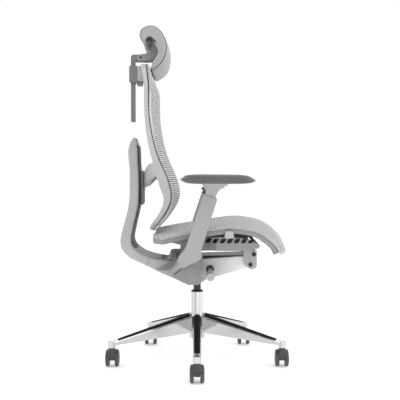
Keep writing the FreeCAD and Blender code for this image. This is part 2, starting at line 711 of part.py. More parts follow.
def make_arm(side, tag):
    """Armrest on one side: support with its sleeve, post, button, pivot plate and pad."""
    lean = math.tan(math.radians(size("arm_lean")))
    centre = side * size("arm_centre")
    sleeve_mid = side * (size("arm_centre") - 12)
    outward = -side

    def leaning(x_at_top, z):
        """Point on a line parallel to the sleeve, given where it crosses the sleeve's top."""
        return x_at_top + lean * (z - 624), z

    support = new_body(f"arm_support_{tag}")
    sleeve = sketch(support, "XZ_Plane", f"sleeve_side_{tag}",
                    rounded([(20, 624, 3), (68, 609, 3), (14, 440, 24), (16, 412, 4), (-50, 378, 8),
                             (-66, 410, 16), (-38, 446, 30)]), f"{-sleeve_mid}")
    pad(support, sleeve, "Sizes.sleeve_width")
    inner_face = abs(sleeve_mid) - size("sleeve_width") / 2 + 2
    beam = []
    for index, (y, outline) in enumerate((
            (inner_face, [(-56, 386), (8, 410), (8, 430), (-44, 441)]),
            (205.0, [(-82, 358), (-6, 388), (-2, 406), (-62, 409)]),
            (100.0 + GAP, [(-150, 350), (-90, 326), (-6, 392), (-62, 398)]))):
        beam.append(sketch(support, "XZ_Plane", f"beam_{tag}_{index + 1}", polygon(outline),
                           f"{outward * y}"))
    loft(support, beam)
    core = sketch(support, "XZ_Plane", f"sleeve_bore_{tag}",
                  polygon([leaning(26, 474), leaning(65.6, 462), leaning(65.6, 634), leaning(26, 646)]),
                  f"{-sleeve_mid}")
    pocket(support, core, "Sizes.post_width + 1")
    screw_holes = sketch(support, "XZ_Plane", f"screw_holes_{tag}",
                         [Part.Circle(Vector(x, z, 0), Vector(0, 0, 1), 3.0) for x, z in ARM_SCREWS],
                         f"{outward * 100}")
    pocket(support, screw_holes, "25", "One side", reverse=side < 0)

    post = new_body(f"arm_post_{tag}")
    shaft = sketch(post, "XZ_Plane", f"post_side_{tag}",
                   rounded([(*leaning(26.5, 489), 1), (*leaning(65.1, 477), 1), (*leaning(65.1, 618), 8),
                            (70, 632, 12), (80, 642, 16), (92, 650, 2), (22, 650, 2), (29, 641, 6),
                            (*leaning(26.5, 629), 3)]), f"{-sleeve_mid}")
    pad(post, shaft, "Sizes.post_width")
    flange = sketch(post, "XY_Plane", f"post_flange_{tag}",
                    rounded([(26, centre - 24, 16), (90, centre - 24, 22), (90, centre + 24, 22),
                             (26, centre + 24, 16)]), "643")
    pad(post, flange, "7", "One side")
    stud = sketch(post, "XY_Plane", f"swivel_stud_{tag}",
                  [Part.Circle(Vector(SWIVEL, centre, 0), Vector(0, 0, 1), 6.0)], "649")
    pad(post, stud, "7", "One side")
    recess = sketch(post, "XZ_Plane", f"button_recess_{tag}",
                    polygon([(20, 622), (33, 622), (38, 638), (26, 638)]), f"{-sleeve_mid}")
    pocket(post, recess, "15")

    button = new_body(f"arm_button_{tag}")
    face = sketch(button, "XZ_Plane", f"arm_button_side_{tag}",
                  rounded([(17, 627, 2), (28, 625, 0), (31.5, 636, 0), (21, 639, 3)]), f"{-sleeve_mid}")
    pad(button, face, "14")

    plate = new_body(f"arm_plate_{tag}")
    disc = sketch(plate, "XY_Plane", f"plate_outline_{tag}",
                  rounded([(18, centre - 30, 18), (100, centre - 30, 24), (100, centre + 30, 24),
                           (18, centre + 30, 18)]), "650.5")
    pad(plate, disc, "8", "One side")
    eye = sketch(plate, "XY_Plane", f"swivel_eye_{tag}",
                 [Part.Circle(Vector(SWIVEL, centre, 0), Vector(0, 0, 1), 6.0 + FIT)], "650")
    pocket(plate, eye, "8", "One side", reverse=True)

    pad_body = new_body(f"arm_pad_{tag}")
    half = size("arm_pad_width") / 2
    sections = []
    for index, (share, inset) in enumerate(((-1.0, 6.0), (-0.93, 2.0), (-0.8, 0.3), (-0.4, 0.0), (0.4, 0.0),
                                            (0.8, 0.3), (0.93, 2.0), (1.0, 6.0))):
        nose = 40 * max(0.0, abs(share) - 0.4) ** 1.6
        outline = rounded([(-57 + nose + inset, 671, 2), (-34 + nose, 659 + inset, 8),
                           (178 - nose, 659 + inset, 8), (195 - nose - inset, 668, 3),
                           (166 - nose, 686.5 - inset, 26), (-34 + nose, 688 - inset, 16)])
        sections.append(sketch(pad_body, "XZ_Plane", f"pad_{tag}_{index + 1}", outline,
                               f"{-centre} - Sizes.arm_pad_width / 2 * {share}"))
    loft(pad_body, sections)


def make_arm_screws():
    screws = []
    for side, tag in ((-1, "r"), (1, "l")):
        for index, (x, z) in enumerate(ARM_SCREWS):
            y = 100.0 + GAP
            start = -y - 13 if side < 0 else y + 1
            screws.append(cylinder(f"arm_screw_{tag}_{index + 1}", "3", "12", (x, start, z), "y"))
    keep(group("arm_screw_set", *screws), "arm_screws")


# ---------------------------------------------------------------------------- backrest
BACK_FRONT = [(-178, 1084), (-169, 1070), (-164, 1046), (-157, 1000), (-155, 950), (-154, 900),
              (-147, 842), (-134, 782), (-113, 725), (-92, 678), (-80, 634), (-80, 600), (-95, 562),
              (-116, 529), (-138, 502), (-150, 489)]
BACK_REAR = [(-197, 1082), (-194, 1066), (-190, 1044), (-183, 1016), (-179, 990), (-178, 950), (-177, 900),
             (-171, 830), (-160, 770), (-146, 718), (-134, 672), (-121, 632), (-114, 604), (-122, 572),
             (-141, 540), (-160, 514), (-166, 497)]
MESH_DEPTH = 6.0
BEZEL_DEPTH = 3.0
MESH_STATIONS = (-1.0, -0.93, -0.84, -0.7, -0.5, -0.25, 0.0, 0.25, 0.5, 0.7, 0.84, 0.93, 1.0)


def back_window(top, bottom, half):
    """Front view of the backrest: wide straight sides and an arched top."""
    return [spline([(0, top), (0.42 * half, top - 5), (0.78 * half, top - 34), (0.96 * half, top - 96),
                    (half, top - 180), (0.995 * half, 800), (half, 700), (0.975 * half, 610),
                    (0.9 * half, bottom + 52), (0.72 * half, bottom + 15), (0.4 * half, bottom + 2),
                    (0, bottom)]),
            spline([(0, bottom), (-0.4 * half, bottom + 2), (-0.72 * half, bottom + 15),
                    (-0.9 * half, bottom + 52), (-0.975 * half, 610), (-half, 700), (-0.995 * half, 800),
                    (-half, top - 180), (-0.96 * half, top - 96), (-0.78 * half, top - 34),
                    (-0.42 * half, top - 5), (0, top)])]


def back_layer(label, near, far, margin, hollow):
    """Slab that follows the backrest's side line between two depths, cut to its front view."""
    body = new_body(label)
    front = resample(offset(BACK_FRONT, -near), 26)
    if far is None:
        rear = resample(BACK_REAR, 26)
    else:
        rear = resample(offset(BACK_FRONT, -far), 26)
    side = sketch(body, "XZ_Plane", f"{label}_side", ribbon(front, rear))
    pad(body, side, "Sizes.back_width + 20")
    half = size("back_width") / 2 - margin
    frame = rounded([(-300, 440, 0), (300, 440, 0), (300, 1120, 0), (-300, 1120, 0)])
    trim = sketch(body, "YZ_Plane", f"{label}_trim", frame + back_window(1083 - margin, 485 + margin, half),
                  "-260")
    pocket(body, trim, "260", "One side", reverse=True)
    if hollow:
        window = back_window(1083 - margin - hollow, 485 + margin + hollow * 0.8, half - hollow)
        inner = sketch(body, "YZ_Plane", f"{label}_opening", window, "-260")
        pocket(body, inner, "260", "One side", reverse=True)
    return body


def back_fullness(z):
    """How far the mesh stands forward of the frame line at mid-width, by height."""
    return 15.0 * min(1.0, max(0.0, (1048 - z) / 60)) * min(1.0, max(0.0, (z - 489) / 130)) ** 0.6


def make_back_mesh():
    """Mesh slab across the backrest, crowned forward between the frame's sides."""
    body = new_body("back_mesh")
    sections = []
    for index, share in enumerate(MESH_STATIONS):
        crown = 1 - abs(share) ** 2.6
        centre_line = []
        for x, z in resample(BACK_FRONT, 26):
            centre_line.append((x + back_fullness(z) * crown, z))
        outline = ribbon(centre_line, offset(centre_line, 0.3 - MESH_DEPTH))
        sections.append(sketch(body, "XZ_Plane", f"mesh_station_{index + 1}", outline,
                               f"-Sizes.back_width / 2 * {share}"))
    loft(body, sections, ruled=True)
    margin = 2.5
    frame = rounded([(-300, 440, 0), (300, 440, 0), (300, 1120, 0), (-300, 1120, 0)])
    window = back_window(1083 - margin, 485 + margin, size("back_width") / 2 - margin)
    trim = sketch(body, "YZ_Plane", "back_mesh_trim", frame + window, "-260")
    pocket(body, trim, "260", "One side", reverse=True)


def make_back():
    frame = back_layer("back_frame", MESH_DEPTH + BEZEL_DEPTH, None, 0.0, 26.0)
    crown = sketch(frame, "XZ_Plane", "crown_side",
                   rounded([(-216, 1026, 3), (-186, 1026, 2), (-192, 1062, 4), (-192, 1081, 3),
                            (-216, 1081, 5)]))
    pad(frame, crown, "70")
    for side, tag in ((-1, "r"), (1, "l")):
        wing = []
        for index, (y, outline) in enumerate((
                (222, [(-152, 726), (-150, 690), (-137, 682), (-134, 706)]),
                (120, [(-176, 722), (-172, 672), (-158, 664), (-154, 704)]),
                (42, [(-193.6, 694), (-193.6, 640), (-172, 648), (-168, 694)]))):
            wing.append(sketch(frame, "XZ_Plane", f"wing_{tag}_{index + 1}", polygon(outline),
                               f"{-side * y}"))
        loft(frame, wing)
    block = sketch(frame, "XZ_Plane", "wing_block",
                   rounded([(-193.6, 640, 0), (-172, 648, 3), (-168, 694, 3), (-193.6, 694, 0)]))
    pad(frame, block, "84.6")
    back_layer("back_bezel", MESH_DEPTH, MESH_DEPTH + BEZEL_DEPTH, 1.5, 21.0)
    make_back_mesh()

    slider = new_body("back_slider")
    block = sketch(slider, "XZ_Plane", "slider_side",
                   rounded([(-205.2, 708, 3), (-194, 697, 3), (-194, 584, 3), (-203.5, 572, 3)]))
    pad(slider, block, "Sizes.track_width")


# ---------------------------------------------------------------------------- headrest
TILT_PIVOT = (-205.0, 1112.0)


def head_outline(grow):
    """Curled section of the headrest pad, from the hook's tip over the top to the lower lip."""
    outer = [(-181, 1143), (-194, 1153), (-202, 1177), (-191, 1197), (-164, 1206 + grow * 0.2),
             (-138, 1199 + grow * 0.3), (-120 + grow * 0.5, 1180), (-108 + grow * 0.8, 1155),
             (-104 + grow, 1128), (-106 + grow, 1100 - grow * 0.3), (-118 + grow, 1075 - grow * 0.6),
             (-136 + grow * 0.6, 1058 - grow), (-156 + grow * 0.1, 1050 - grow)]
    inner = [(-179, 1147), (-183, 1157), (-184, 1166), (-176, 1177), (-163, 1179), (-150, 1173), (-140, 1162),
             (-134, 1146), (-132, 1126), (-134, 1106), (-141, 1090), (-152, 1078), (-164, 1070 - grow * 0.4)]
    return outer, inner


def make_headrest():
    clamp = new_body("headrest_clamp")
    block = sketch(clamp, "XZ_Plane", "clamp_side",
                   rounded([(-246, 1022, 4), (-216.4, 1022, 0), (-216.4, 1082, 3), (-246, 1082, 4)]))
    pad(clamp, block, "56")
    foot = sketch(clamp, "XZ_Plane", "clamp_foot",
                  rounded([(-218, 1012, 2), (-200, 1012, 3), (-198, 1025.6, 0), (-218, 1025.6, 0)]))
    pad(clamp, foot, "44")
    passage = sketch(clamp, "XY_Plane", "bar_passage",
                     polygon([(-241.4, -14.4), (-225.6, -14.4), (-225.6, 14.4), (-241.4, 14.4)]), "1000")
    pocket(clamp, passage, "120", "One side", reverse=True)
    screws = []
    for index, y in enumerate((-20, 20)):
        screws.append(cylinder(f"clamp_screw_{index + 1}", "3", "18", (-219, y, 1050), "x"))
        hole = sketch(clamp, "YZ_Plane", f"clamp_hole_{index + 1}",
                      [Part.Circle(Vector(y, 1050, 0), Vector(0, 0, 1), 3.0)], "-222")
        pocket(clamp, hole, "10", "One side", reverse=True)
        seat = sketch(NODES["back_frame"], "YZ_Plane", f"crown_hole_{index + 1}",
                      [Part.Circle(Vector(y, 1050, 0), Vector(0, 0, 1), 3.0)], "-222")
        pocket(NODES["back_frame"], seat, "22", "One side", reverse=True)
    keep(group("clamp_screw_set", *screws), "clamp_screws")

    bar = new_body("headrest_bar")
    side = sketch(bar, "XZ_Plane", "bar_side",
                  rounded([(-241, 880, 2), (-226, 880, 2), (-226, 1099, 4), (-186, 1099, 6), (-186, 1124, 8),
                           (-241, 1124, 10)]))
    pad(bar, side, "Sizes.bar_width")
    hole = sketch(bar, "XZ_Plane", "bar_bore",
                  [Part.Circle(Vector(*TILT_PIVOT, 0), Vector(0, 0, 1), 4.0)])
    pocket(bar, hole, "60")
    keep(cylinder("tilt_axle", "4", "56", (TILT_PIVOT[0], -28, TILT_PIVOT[1]), "y"), "headrest_pin")

    yoke = new_body("headrest_yoke")
    arm = sketch(yoke, "XZ_Plane", "yoke_side",
                 rounded([(-217, 1102, 10), (-217, 1122, 10), (-186, 1126, 8), (-160, 1141, 8),
                           (-142, 1144, 2),
                          (-141, 1108, 2), (-170, 1100, 10), (-196, 1100, 8)]))
    pad(yoke, arm, "52")
    fork = sketch(yoke, "XZ_Plane", "yoke_fork",
                  polygon([(-230, 1080), (-180, 1080), (-180, 1150), (-230, 1150)]))
    pocket(yoke, fork, "Sizes.bar_width + 0.8")
    bore = sketch(yoke, "XZ_Plane", "yoke_bore",
                  [Part.Circle(Vector(*TILT_PIVOT, 0), Vector(0, 0, 1), 4.0 + FIT)])
    pocket(yoke, bore, "80")

    shell = new_body("headrest_shell")
    outer, inner = head_outline(0.0)
    strip = resample(inner[3:12], 14)
    side = sketch(shell, "XZ_Plane", "shell_side", ribbon(offset(strip, -0.4), offset(strip, -5.4)))
    pad(shell, side, "Sizes.head_width - 30")

    cushion = new_body("headrest_pad")
    sections = []
    for index, (share, grow) in enumerate(((-1.0, -5.0), (-0.93, 0.0), (-0.6, 7.0), (-0.2, 12.0), (0.2, 12.0),
                                           (0.6, 7.0), (0.93, 0.0), (1.0, -5.0))):
        outer, inner = head_outline(grow)
        sections.append(sketch(cushion, "XZ_Plane", f"head_{index + 1}", ribbon(outer, inner),
                               f"-Sizes.head_width / 2 * {share}"))
    loft(cushion, sections)


# ---------------------------------------------------------------------------- build and write
make_star_base()
make_leg_inlays()
make_lift()
make_casters()
make_mechanism()
make_levers()
make_links()
make_carrier()
make_seat()
make_spine()
for arm_side, arm_tag in ((-1, "right"), (1, "left")):
    make_arm(arm_side, arm_tag)
make_arm_screws()
make_back()
make_headrest()
doc.recompute()

problems = [o.Name for o in doc.Objects if "Invalid" in o.State or "Error" in o.State]
for label, feature in NODES.items():
    if feature.Shape.isNull() or not feature.Shape.isValid():
        problems.append(label)
if problems:
    raise RuntimeError("failed objects: " + ", ".join(problems))

os.makedirs("parts", exist_ok=True)
for label, feature in NODES.items():
    feature.Shape.exportStep(f"parts/{label}.step")
print(len(NODES), "nodes written")
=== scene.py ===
import json
import math

import bmesh
import bpy
import numpy as np
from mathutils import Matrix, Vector
from mathutils.bvhtree import BVHTree


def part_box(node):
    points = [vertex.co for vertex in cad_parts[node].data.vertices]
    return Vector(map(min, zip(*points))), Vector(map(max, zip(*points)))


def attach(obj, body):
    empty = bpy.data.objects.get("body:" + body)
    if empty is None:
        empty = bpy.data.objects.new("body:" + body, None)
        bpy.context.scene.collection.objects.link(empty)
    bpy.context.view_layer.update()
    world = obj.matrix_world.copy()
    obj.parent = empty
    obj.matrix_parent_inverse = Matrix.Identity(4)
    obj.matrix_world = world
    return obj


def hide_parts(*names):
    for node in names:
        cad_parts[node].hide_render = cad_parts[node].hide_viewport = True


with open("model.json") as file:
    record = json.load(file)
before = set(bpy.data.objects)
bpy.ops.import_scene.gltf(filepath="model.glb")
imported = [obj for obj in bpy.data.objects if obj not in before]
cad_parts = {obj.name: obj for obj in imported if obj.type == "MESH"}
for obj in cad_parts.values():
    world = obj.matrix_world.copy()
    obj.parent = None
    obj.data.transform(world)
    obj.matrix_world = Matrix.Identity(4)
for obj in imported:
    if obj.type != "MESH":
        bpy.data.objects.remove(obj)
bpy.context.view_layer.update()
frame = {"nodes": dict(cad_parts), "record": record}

# Ergonomic mesh chair, metres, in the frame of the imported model: the sitter faces +X, the sitter's right
# is -Y, and the origin is on the column axis at floor level.

BODY_OF = {node: body for body, nodes in frame["record"]["behaviour"]["bodies"].items() for node in nodes}
SLOT_OF = {part["node"]: part["material_slot"] for part in frame["record"]["subparts"]}
SIDES = (("right", -1), ("left", 1))
MIDLINE_STEPS = 160
RIB_STEPS = 44
YARN_COUNT = 72
# Heights over the headrest pad's foot between which painted shade darkens the shell in the pad's upper curl.
CURL_SHADE_START = 0.1049
CURL_SHADE_FULL = 0.1129


# ---------------------------------------------------------------------------- materials
class Shader:
    """One node material on object coordinates, which move with the body that a piece rides on."""

    def __init__(self, name, colour, roughness, metallic=0.0, **sockets):
        self.material = bpy.data.materials.new(name)
        self.material.use_nodes = True
        self.material.diffuse_color = (*colour, 1)
        self.nodes = self.material.node_tree.nodes
        self.links = self.material.node_tree.links
        self.surface = self.nodes["Principled BSDF"]
        self.colour = colour
        self.surface.inputs["Base Color"].default_value = (*colour, 1)
        self.surface.inputs["Roughness"].default_value = roughness
        self.surface.inputs["Metallic"].default_value = metallic
        for socket, value in sockets.items():
            self.surface.inputs[socket.replace("_", " ")].default_value = value
        self.place = self.add("ShaderNodeTexCoord").outputs["Object"]
        self.height = None

    def add(self, kind, inputs=None, **settings):
        made = self.nodes.new(kind)
        for name, value in settings.items():
            setattr(made, name, value)
        for name, value in (inputs or {}).items():
            if isinstance(value, bpy.types.NodeSocket):
                self.links.new(value, made.inputs[name])
            else:
                made.inputs[name].default_value = value
        return made

    def stretched(self, scale):
        return self.add("ShaderNodeMapping", {"Vector": self.place, "Scale": scale}).outputs["Vector"]

    def noise(self, scale, detail, stretch=None):
        place = self.stretched(stretch) if stretch else self.place
        made = self.add("ShaderNodeTexNoise", {"Vector": place, "Scale": scale, "Detail": detail})
        return made.outputs["Fac"]

    def spread(self, value, low, high, start=0.3, end=0.7):
        made = self.add("ShaderNodeMapRange", {"Value": value, "From Min": start, "From Max": end,
                                               "To Min": low, "To Max": high})
        return made.outputs["Result"]

    def math(self, operation, first, second=0.0):
        return self.add("ShaderNodeMath", {0: first, 1: second}, operation=operation).outputs["Value"]

    def vary_colour(self, value, darkest, lightest):
        """Colour from darkest to lightest times the material's own, over a 0 to 1 value."""
        ramp = self.add("ShaderNodeMix", {0: value,
                                          6: (*[c * darkest for c in self.colour], 1),
                                          7: (*[min(1.0, c * lightest) for c in self.colour], 1)},
                        data_type="RGBA")
        self.links.new(ramp.outputs[2], self.surface.inputs["Base Color"])

    def vary_roughness(self, value, low, high):
        self.links.new(self.spread(value, low, high), self.surface.inputs["Roughness"])

    def raise_by(self, value, depth):
        """Adds relief of a depth in metres to the material's bump."""
        step = self.math("MULTIPLY", value, depth)
        self.height = step if self.height is None else self.math("ADD", self.height, step)

    def finish(self):
        if self.height is not None:
            bump = self.add("ShaderNodeBump", {"Height": self.height, "Distance": 1.0, "Strength": 1.0})
            self.links.new(bump.outputs["Normal"], self.surface.inputs["Normal"])
        return self.material


def moulded(name, colour, roughness, grain=0.00004):
    """Moulded nylon: faint flow shading, a fine spark-eroded grain and slightly uneven gloss."""
    shader = Shader(name, colour, roughness, Specular_IOR_Level=0.45)
    shader.vary_colour(shader.spread(shader.noise(9, 2), 0, 1), 0.955, 1.03)
    shader.vary_roughness(shader.noise(70, 4), roughness - 0.06, roughness + 0.07)
    shader.raise_by(shader.noise(1400, 2), grain)
    shader.raise_by(shader.noise(60, 2), 0.00003)
    return shader.finish()


def polished(name, colour, roughness):
    """Polished die casting: mirror finish with slight waviness and hairline polishing marks."""
    shader = Shader(name, colour, roughness, metallic=1.0)
    shader.vary_colour(shader.noise(14, 2), 0.93, 1.0)
    shader.vary_roughness(shader.noise(90, 4, stretch=(1, 1, 6)), roughness * 0.6, roughness * 1.7)
    shader.raise_by(shader.noise(45, 1), 0.00004)
    shader.raise_by(shader.noise(900, 2, stretch=(0.2, 0.2, 3)), 0.000003)
    return shader.finish()


def knitted(name, colour, pitch, relief):
    """Knitted elastomer mesh: crossed yarn ridges, a soft sheen and small colour flecks."""
    shader = Shader(name, colour, 0.75, Sheen_Weight=0.25, Sheen_Roughness=0.5, Specular_IOR_Level=0.25)
    parts = shader.add("ShaderNodeSeparateXYZ", {"Vector": shader.place}).outputs
    turn = 2 * math.pi / pitch
    across = shader.math("SINE", shader.math("MULTIPLY", parts["Y"], turn))
    along = shader.math("SINE", shader.math("MULTIPLY", parts["Z"], turn))
    knit = shader.math("MULTIPLY", across, along)
    flecks = shader.noise(500, 2)
    shader.vary_colour(shader.spread(shader.math("ADD", flecks, shader.math("MULTIPLY", knit, 0.12)), 0, 1),
                       0.86, 1.06)
    shader.vary_roughness(shader.noise(200, 2), 0.68, 0.85)
    shader.raise_by(knit, relief)
    shader.raise_by(flecks, relief * 0.5)
    return shader.finish()


def soft_touch(name, colour):
    """Soft-touch polyurethane skin: leather-like pebble and a dry sheen."""
    shader = Shader(name, colour, 0.62, Specular_IOR_Level=0.35, Sheen_Weight=0.12, Sheen_Roughness=0.6)
    pebble = shader.add("ShaderNodeTexVoronoi", {"Vector": shader.place, "Scale": 700.0}).outputs["Distance"]
    shader.vary_colour(shader.spread(shader.noise(16, 3), 0, 1), 0.93, 1.07)
    shader.vary_roughness(shader.noise(90, 3), 0.55, 0.7)
    shader.raise_by(pebble, 0.00010)
    shader.raise_by(shader.noise(40, 2), 0.0001)
    return shader.finish()


def inlay(name, colour):
    """Dull black rubber strip."""
    shader = Shader(name, colour, 0.5, Specular_IOR_Level=0.12)
    shader.vary_colour(shader.spread(shader.noise(30, 3), 0, 1), 0.8, 1.6)
    shader.vary_roughness(shader.noise(150, 3), 0.45, 0.65)
    shader.raise_by(shader.noise(1100, 2), 0.00004)
    return shader.finish()


def chromed(name, colour):
    """Drawn and plated tube: bright, with painted reflections as soft light and dark streaks along its length.
    """
    shader = Shader(name, colour, 0.12, metallic=1.0)
    painted_reflections = shader.noise(95, 2, stretch=(1, 1, 0.01))
    # Painted reflection: the streaks lighten and darken the colour, standing in for the room mirrored in the
    # tube.
    shader.vary_colour(shader.spread(painted_reflections, 0, 1, 0.35, 0.6), 0.72, 1.2)
    shader.vary_roughness(shader.noise(90, 4, stretch=(1, 1, 6)), 0.07, 0.18)
    shader.raise_by(shader.noise(900, 2, stretch=(3, 3, 0.2)), 0.000003)
    return shader.finish()


PAINTS = {
    "polished_aluminium": polished("polished_aluminium", (0.60, 0.60, 0.61), 0.12),
    "chrome_tube": chromed("chrome_tube", (0.56, 0.56, 0.57)),
    "inlay_black": inlay("inlay_black", (0.004, 0.004, 0.0042)),
    "black_gloss": moulded("black_gloss", (0.010, 0.010, 0.011), 0.2, 0.00001),
    "caster_grey": moulded("caster_grey", (0.045, 0.045, 0.047), 0.3),
    "wheel_grey": moulded("wheel_grey", (0.06, 0.06, 0.063), 0.45),
    "steel": polished("steel", (0.55, 0.55, 0.56), 0.28),
    "light_grey": moulded("light_grey", (0.44, 0.44, 0.445), 0.42),
    "mid_grey": moulded("mid_grey", (0.20, 0.20, 0.203), 0.44),
    "dark_grey": moulded("dark_grey", (0.035, 0.035, 0.037), 0.5),
    "rim_grey": moulded("rim_grey", (0.25, 0.25, 0.253), 0.44),
    "cover_grey": moulded("cover_grey", (0.29, 0.29, 0.293), 0.36),
    "sleeve_grey": moulded("sleeve_grey", (0.34, 0.34, 0.344), 0.42),
    # felt_black darkens the strips of painted shade inside the seat pan.
    "felt_black": soft_touch("felt_black", (0.03, 0.03, 0.031)),
    "warp_grey": moulded("warp_grey", (0.17, 0.17, 0.172), 0.7),
    "seam_grey": moulded("seam_grey", (0.12, 0.12, 0.122), 0.7),
    "arm_pad": soft_touch("arm_pad", (0.10, 0.10, 0.102)),
    "steel_dark": polished("steel_dark", (0.05, 0.05, 0.052), 0.35),
    "mesh_fabric": knitted("mesh_fabric", (0.58, 0.58, 0.585), 0.0022, 0.00018),
    "headrest_fabric": knitted("headrest_fabric", (0.37, 0.37, 0.374), 0.0018, 0.00012),
}


def paint(piece, material):
    piece.data.materials.clear()
    piece.data.materials.append(material)


def shell_with_painted_shade():
    """Headrest shell: light inside, with painted shade that darkens it in the pad's upper curl."""
    shader = Shader("headrest_shell_painted_shade", (0.40, 0.40, 0.405), 0.5, Specular_IOR_Level=0.4)
    height = shader.add("ShaderNodeSeparateXYZ", {"Vector": shader.place}).outputs["Z"]
    speckle = shader.spread(shader.noise(60, 3), -0.04, 0.04)
    low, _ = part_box("headrest_pad")
    # Painted shade: the shell's colour falls to near black above the curl's lower edge, where the hook lies in
    # shadow.
    painted_shade_ramp = shader.spread(height, 1.0, 0.12, low.z + CURL_SHADE_START, low.z + CURL_SHADE_FULL)
    shader.vary_colour(shader.math("ADD", painted_shade_ramp, speckle), 0.0, 1.0)
    shader.vary_roughness(shader.noise(120, 3), 0.45, 0.6)
    shader.raise_by(shader.noise(1200, 2), 0.00005)
    return shader.finish()


def cast_housing():
    """Satin die casting, bead-blasted, with painted light that makes it a little brighter towards its front."""
    shader = Shader("cast_silver", (0.62, 0.62, 0.625), 0.36, metallic=0.25, Specular_IOR_Level=0.5)
    forward = shader.add("ShaderNodeSeparateXYZ", {"Vector": shader.place}).outputs["X"]
    mottle = shader.spread(shader.noise(35, 3), -0.05, 0.05)
    # Painted light: the colour rises from rear to front as if the front were better lit.
    shader.vary_colour(shader.math("ADD", shader.spread(forward, 0.0, 1.0, 0.02, 0.17), mottle), 0.62, 1.35)
    shader.vary_roughness(shader.noise(80, 3), 0.30, 0.44)
    shader.raise_by(shader.noise(1500, 2), 0.00004)
    return shader.finish()


def paint_carried_nodes():
    for name, node in frame["nodes"].items():
        material = PAINTS[SLOT_OF[name]]
        if node.material_slots:
            for holder in node.material_slots:
                holder.material = material
        else:
            node.data.materials.append(material)


# ---------------------------------------------------------------------------- mesh tools
def new_piece(name, vertices, faces, material, smooth=True):
    mesh = bpy.data.meshes.new(name)
    mesh.from_pydata([tuple(v) for v in vertices], [], faces)
    mesh.validate()
    piece = bpy.data.objects.new(name, mesh)
    bpy.context.scene.collection.objects.link(piece)
    finish_surface(piece, smooth)
    paint(piece, material)
    return piece


def finish_surface(piece, smooth=True):
    """Welded points, outward faces and smooth or flat shading."""
    shape = bmesh.new()
    shape.from_mesh(piece.data)
    bmesh.ops.remove_doubles(shape, verts=shape.verts, dist=1e-6)
    bmesh.ops.recalc_face_normals(shape, faces=shape.faces)
    shape.to_mesh(piece.data)
    shape.free()
    piece.data.polygons.foreach_set("use_smooth", [smooth] * len(piece.data.polygons))


def bake_modifiers(piece):
    graph = bpy.context.evaluated_depsgraph_get()
    mesh = bpy.data.meshes.new_from_object(piece.evaluated_get(graph))
    piece.modifiers.clear()
    piece.data = mesh
    mesh.name = piece.name


def copy_of(node, name):
    """Free mesh copy of a CAD node, welded."""
    piece = bpy.data.objects.new(name, frame["nodes"][node].data.copy())
    bpy.context.scene.collection.objects.link(piece)
    finish_surface(piece)
    return piece


def remesh(piece, voxel):
    grid = piece.modifiers.new("grid", "REMESH")
    grid.mode = "VOXEL"
    grid.voxel_size = voxel
    bake_modifiers(piece)


def relax(piece, passes):
    """Rounds every edge by averaging each point with its neighbours."""
    smoother = piece.modifiers.new("relax", "SMOOTH")
    smoother.factor = 0.5
    smoother.iterations = passes
    bake_modifiers(piece)


def stand_for(piece, node, material=None):
    """The piece replaces a CAD node, and takes its body and its finish."""
    paint(piece, material or PAINTS[SLOT_OF[node]])
    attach(piece, BODY_OF[node])
    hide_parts(node)
    piece.data.polygons.foreach_set("use_smooth", [True] * len(piece.data.polygons))
    return piece


def moulded_shell(node, voxel, passes, material=None):
    """Moulded or cast part with the rounded edges that its tool gives it."""
    piece = copy_of(node, node + "_moulding")
    remesh(piece, voxel)
    relax(piece, passes)
    return stand_for(piece, node, material)


def grid_faces(rows, sides):
    """Four-sided faces between rows of points that go round a closed section."""
    faces = []
    for row in range(rows - 1):
        for k in range(sides):
            n = (k + 1) % sides
            faces.append((row * sides + k, row * sides + n, (row + 1) * sides + n, (row + 1) * sides + k))
    return faces


def end_faces(rows, sides):
    """Flat ends of a row-by-row skin."""
    return [tuple(range(sides))[::-1], tuple(range((rows - 1) * sides, rows * sides))]


def tube(path, radius, sides):
    """Vertices and faces of a round tube along a list of points."""
    points = [Vector(p) for p in path]
    count = len(points)
    vertices = []
    upright = None
    for index, here in enumerate(points):
        along = points[min(index + 1, count - 1)] - points[max(index - 1, 0)]
        along.normalize()
        if upright is None:
            upright = along.orthogonal().normalized()
        upright = (upright - along * upright.dot(along)).normalized()
        side = along.cross(upright)
        for k in range(sides):
            angle = 2 * math.pi * k / sides
            vertices.append(here + upright * (radius * math.cos(angle)) + side * (radius * math.sin(angle)))
    return vertices, grid_faces(count, sides) + end_faces(count, sides)


def spun(profile, centre, axis, steps=48):
    """Surface turned about an axis through a centre, from (radius, distance along the axis) points."""
    axis = Vector(axis).normalized()
    first = axis.orthogonal().normalized()
    second = axis.cross(first)
    vertices = []
    for radius, distance in profile:
        for k in range(steps):
            angle = 2 * math.pi * k / steps
            spoke = first * math.cos(angle) + second * math.sin(angle)
            vertices.append(Vector(centre) + axis * distance + spoke * radius)
    return vertices, grid_faces(len(profile), steps)


def joined(name, parts, material, smooth=True):
    """One piece from several lists of vertices and faces."""
    vertices = []
    faces = []
    for part_vertices, part_faces in parts:
        start = len(vertices)
        vertices += list(part_vertices)
        faces += [tuple(start + i for i in face) for face in part_faces]
    return new_piece(name, vertices, faces, material, smooth)


# ---------------------------------------------------------------------------- stretched mesh
class Surface:
    """The outer face of a CAD slab, read by rays along one direction."""

    def __init__(self, node, direction):
        mesh = frame["nodes"][node].data
        self.tree = BVHTree.FromPolygons([v.co for v in mesh.vertices], [p.vertices for p in mesh.polygons])
        self.direction = Vector(direction)

    def at(self, place):
        """Point and outward normal of the face over a place, or None past its edge."""
        start = Vector(place) - self.direction * 2.0
        point, normal, _, _ = self.tree.ray_cast(start, self.direction)
        if point is None:
            return None
        return point, (normal if normal.dot(self.direction) < 0 else -normal)

    def edge(self, inside, outside):
        """Last place with a face under it, between one that has it and one that hasn't."""
        near = Vector(inside)
        far = Vector(outside)
        for _ in range(14):
            middle = (near + far) / 2
            if self.at(middle):
                near = middle
            else:
                far = middle
        return near


